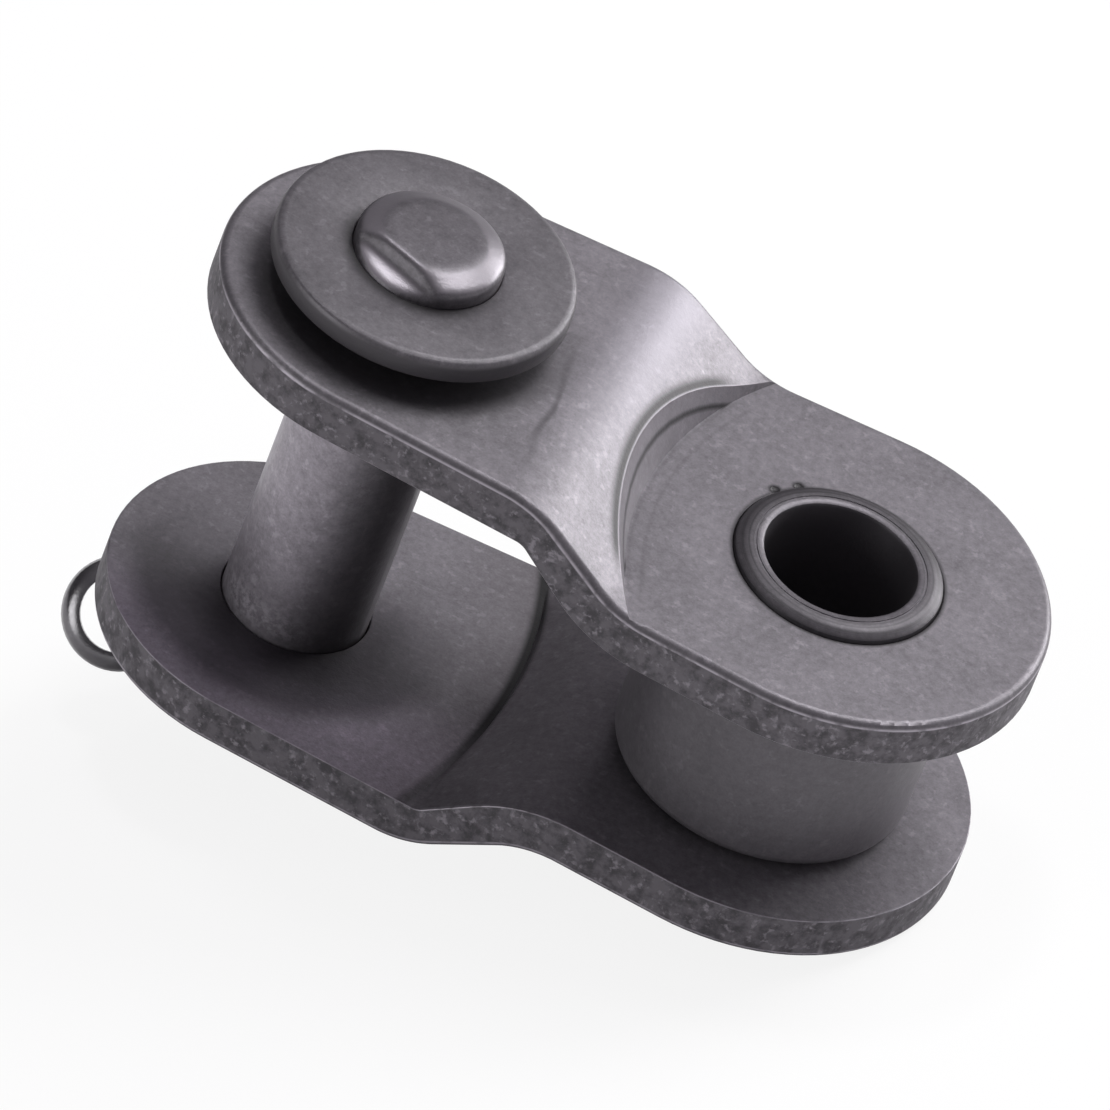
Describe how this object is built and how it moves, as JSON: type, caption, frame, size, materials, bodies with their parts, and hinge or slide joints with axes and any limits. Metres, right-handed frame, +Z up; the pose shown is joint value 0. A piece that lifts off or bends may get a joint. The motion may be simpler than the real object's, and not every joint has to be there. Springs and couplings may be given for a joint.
{
  "type": "offset link",
  "caption": "Cranked half link of a roller chain: offset plates joined by a bushing with a free roller at the narrow end and a headed, cottered pin at the wide end.",
  "frame": {"origin": "centre of the bushing's bore, halfway between the plates", "axes": "+X from the pin's end to the bushing's end along the length, +Y across the plates, +Z up; the link lies as it rests, so the pin and bushing axes lean from +Z towards +X by 15.86 degrees"},
  "size_m": [0.0394, 0.0172, 0.026],
  "materials": {
    "plate_steel": "blued, tumbled, mottled at the sheared edges",
    "bushing_steel": "hardened, turned",
    "roller_steel": "dark, smooth",
    "pin_steel": "ground, worn",
    "disc_steel": "dark, tumbled",
    "cotter_steel": "bright drawn wire"
  },
  "bodies": {
    "link": {"upper_offset_plate": "plate_steel", "lower_offset_plate": "plate_steel", "bushing": "bushing_steel"},
    "roller": {"roller": "roller_steel"},
    "pin": {"pin": "pin_steel", "retaining_disc": "disc_steel", "cotter_pin": "cotter_steel"}
  },
  "joints": [
    {"name": "roller_spin", "type": "hinge", "parent": "link", "child": "roller", "pos_m": [0, 0, 0], "axis": [0.2733, 0, 0.9619], "continuous": true},
    {"name": "pin_spin", "type": "hinge", "parent": "link", "child": "pin", "pos_m": [-0.01833, 0, 0.00521], "axis": [0.2733, 0, 0.9619], "continuous": true}
  ]
}
